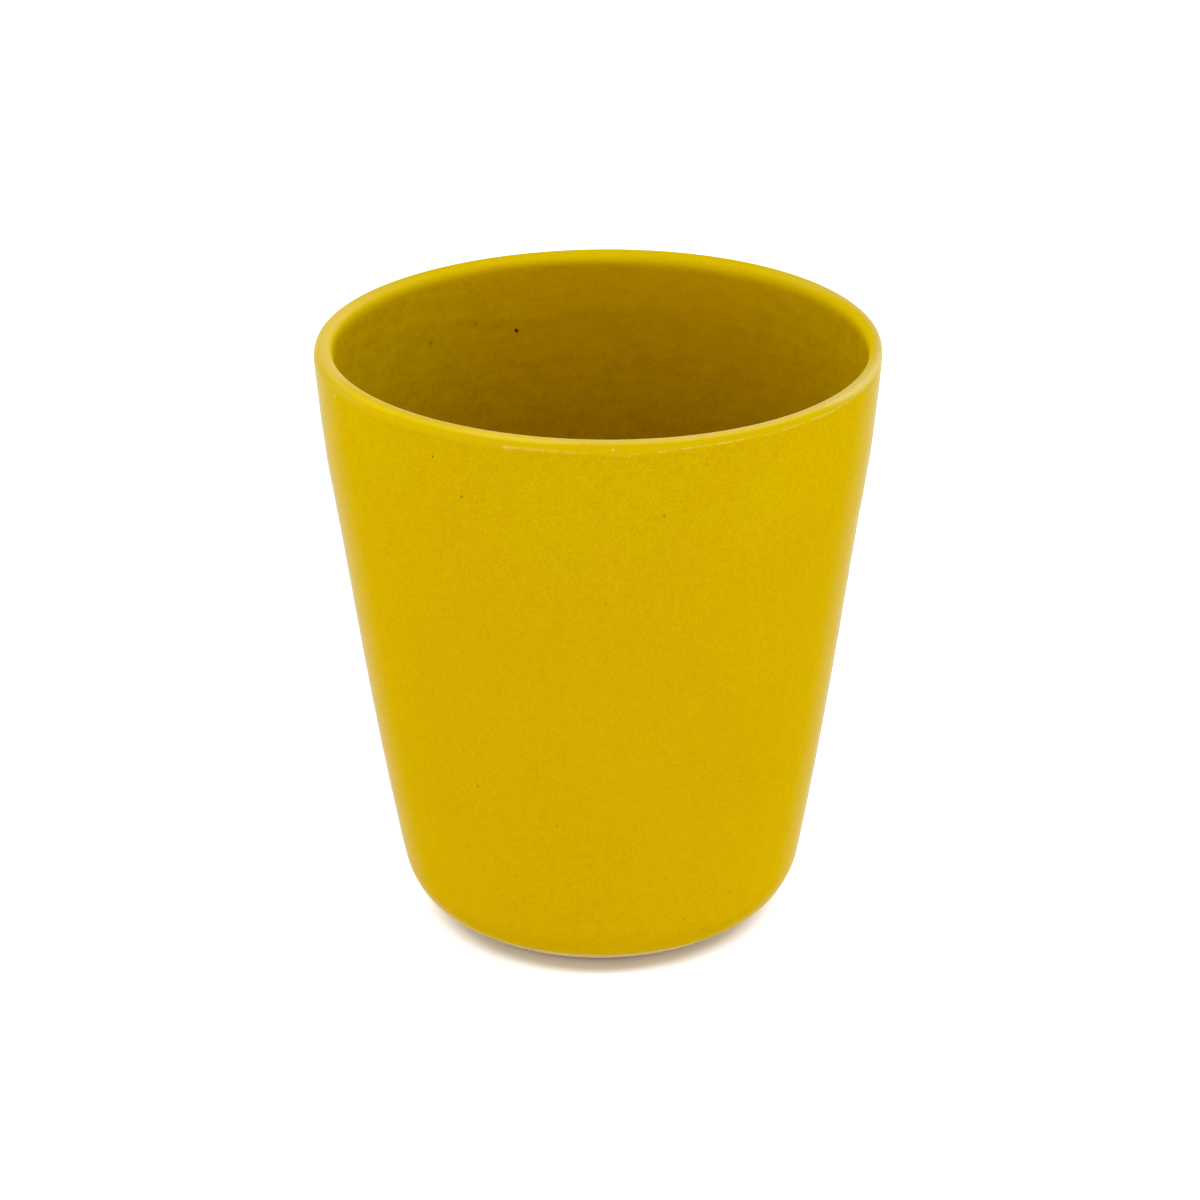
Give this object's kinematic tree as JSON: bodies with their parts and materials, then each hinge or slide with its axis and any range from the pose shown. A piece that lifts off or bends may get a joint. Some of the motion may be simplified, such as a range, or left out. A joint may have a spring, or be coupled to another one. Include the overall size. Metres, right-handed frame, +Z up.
{
  "type": "ceramic tumbler",
  "caption": "Handleless stoneware tumbler with a tapered wall, rounded heel and thin round lip, satin yellow glaze inside and out, standing on a bare clay foot.",
  "frame": {"origin": "middle of the foot, on the table", "axes": "+Z up along the cup's axis; the cup is round, so X and Y are free, and -Y faces the picture's viewer"},
  "size_m": [0.084, 0.084, 0.0914],
  "materials": {
    "bare_stoneware": "bare fired clay, fine matt",
    "outer_glaze": "satin yellow glaze with a few iron specks",
    "liner_glaze": "satin yellow glaze, carried over the lip"
  },
  "bodies": {
    "root": {"stoneware_body": "bare_stoneware", "outer_glaze": "outer_glaze", "liner_glaze": "liner_glaze"}
  },
  "joints": []
}
